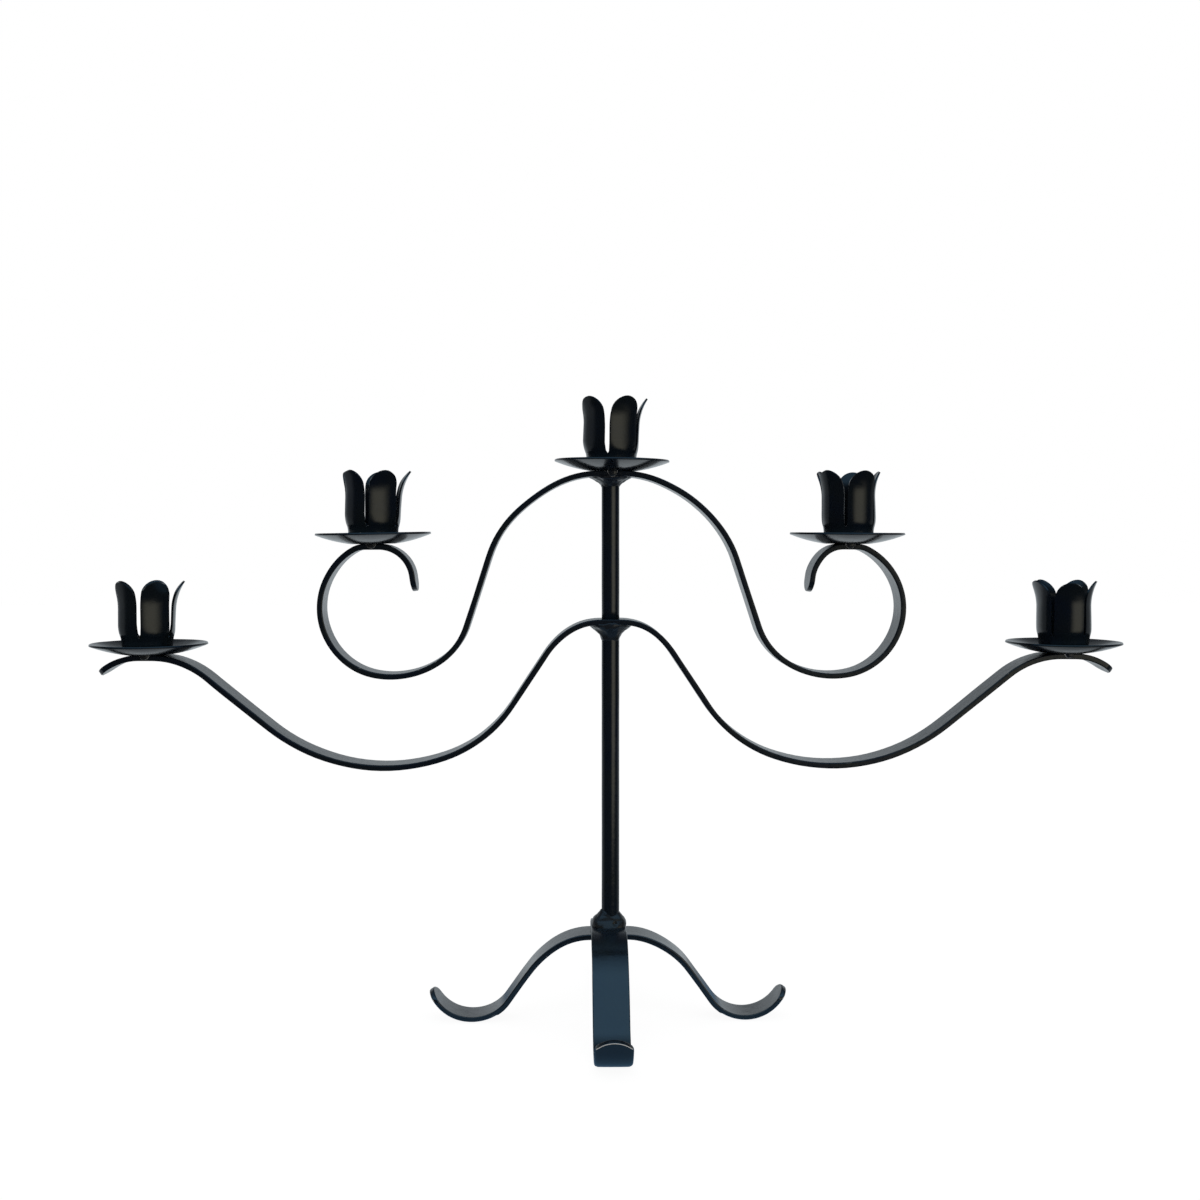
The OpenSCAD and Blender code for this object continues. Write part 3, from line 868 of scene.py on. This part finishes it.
def product(tree, first, *others):
    """All the shares multiplied."""
    for other in others:
        first = add(tree, "Math", first, other, operation="MULTIPLY")
    return first


def room(tree, direction):
    """What the gloss of the paint shows in a direction: a white sheet behind, a dim warm
    window at the front right, a blue skylight high in front, the blue of the table straight
    below, and otherwise the dark. Each edge is a fade over how far the direction points back,
    front or up, or over its turn to the right."""
    facing = add(tree, "SeparateXYZ", direction)
    right, back, up = facing.outputs
    front = add(tree, "Math", back, -1.0, operation="MULTIPLY")
    turn = add(tree, "Math", right, front, operation="ARCTAN2")
    sheet = product(
        tree, fade(tree, back, *sheet_sides), fade(tree, back, *sheet_middle),
        fade(tree, up, *sheet_foot), *[fade(tree, up, *step) for step in sheet_heights]
    )
    window = product(
        tree, fade(tree, turn, *window_left), fade(tree, turn, *window_right),
        fade(tree, up, *window_sill), fade(tree, up, *window_head)
    )
    skylight = product(
        tree, fade(tree, front, *skylight_reach), fade(tree, up, *skylight_foot),
        fade(tree, up, *skylight_top)
    )
    colour = blend(tree, sheet, room_dark, sheet_white)
    colour = blend(tree, window, colour, window_warm)
    colour = blend(tree, skylight, colour, skylight_blue)
    return blend(tree, fade(tree, up, *table_edge), colour, table_blue)


white = bpy.data.materials.new("white_sheet")
white.use_nodes = True
tree = white.node_tree
tree.nodes.remove(tree.nodes["Principled BSDF"])
rays = add(tree, "LightPath").outputs
lit = add(tree, "BsdfDiffuse", Color=(0.85, 0.85, 0.85, 1))
shown = add(tree, "Emission", Color=(1, 1, 1, 1), Strength=1.1)
flatness = add(tree, "Math", rays["Is Camera Ray"], 0.85, operation="MULTIPLY")
both = add(tree, "MixShader", flatness, lit, shown)
place = add(tree, "TexCoord").outputs["Object"]
towards = add(tree, "VectorMath", place, (0, 0, -gloss_height), operation="ADD")
towards = add(tree, "VectorMath", towards, operation="NORMALIZE")
mirrored = add(tree, "Emission", Color=room(tree, towards), Strength=1.0)
whole = add(tree, "MixShader", rays["Is Glossy Ray"], both, mirrored)
plug(tree, tree.nodes["Material Output"].inputs["Surface"], whole)
white.cycles.emission_sampling = "NONE"
floor.data.materials.append(white)

# Light: white for the camera, the room for the gloss, and plain soft light for the rest,
# from the world and two large lamps that stand where the window and the skylight are.
lamp_aim = 0.15
world = bpy.data.worlds.new("studio")
bpy.context.scene.world = world
world.use_nodes = True
world.cycles.sampling_method = "NONE"
tree = world.node_tree
rays = add(tree, "LightPath").outputs
facing = add(tree, "TexCoord").outputs["Generated"]
colour = blend(tree, rays["Is Glossy Ray"], (0.6, 0.6, 0.6), room(tree, facing))
colour = blend(tree, rays["Is Camera Ray"], colour, (1, 1, 1))
plug(tree, tree.nodes["Background"].inputs["Color"], colour)


def soft_lamp(name, turn, rise, distance, width, height, radiance, colour):
    """A flat lamp, turned about the stand from straight in front, aimed at its middle."""
    lamp = bpy.data.lights.new(name, "AREA")
    lamp.shape = "RECTANGLE"
    lamp.size = width
    lamp.size_y = height
    lamp.energy = radiance * pi * width * height
    lamp.color = colour
    made = bpy.data.objects.new(name, lamp)
    made.visible_glossy = False
    bpy.context.collection.objects.link(made)
    made.matrix_world = (
        Matrix.Translation((0, 0, lamp_aim))
        @ Matrix.Rotation(radians(turn), 4, "Z")
        @ Matrix.Rotation(radians(90 - rise), 4, "X")
        @ Matrix.Translation((0, 0, distance))
    )


soft_lamp("window", turn=40, rise=12, distance=2.0, width=2.4, height=0.9, radiance=0.8,
          colour=(1.0, 0.93, 0.85))
soft_lamp("skylight", turn=0, rise=58, distance=2.0, width=2.0, height=0.9, radiance=0.6,
          colour=(0.75, 0.87, 1.0))

# Camera: 0.7 m in front of the stand, 0.22 m up and a little to the left, turned slightly
# right and down. Its place and lens come from the photographed pans and feet.
camera_place = (-0.022602, -0.686651, 0.220054)
camera_turn, camera_dip = -1.491, 2.509
camera = bpy.data.objects.new("camera", bpy.data.cameras.new("camera"))
bpy.context.collection.objects.link(camera)
camera.data.lens = 45.83
camera.data.clip_start = 0.01
camera.matrix_world = (
    Matrix.Translation(camera_place)
    @ Matrix.Rotation(radians(camera_turn), 4, "Z")
    @ Matrix.Rotation(radians(90 - camera_dip), 4, "X")
)
bpy.context.scene.camera = camera
bpy.context.scene.view_settings.view_transform = "Standard"
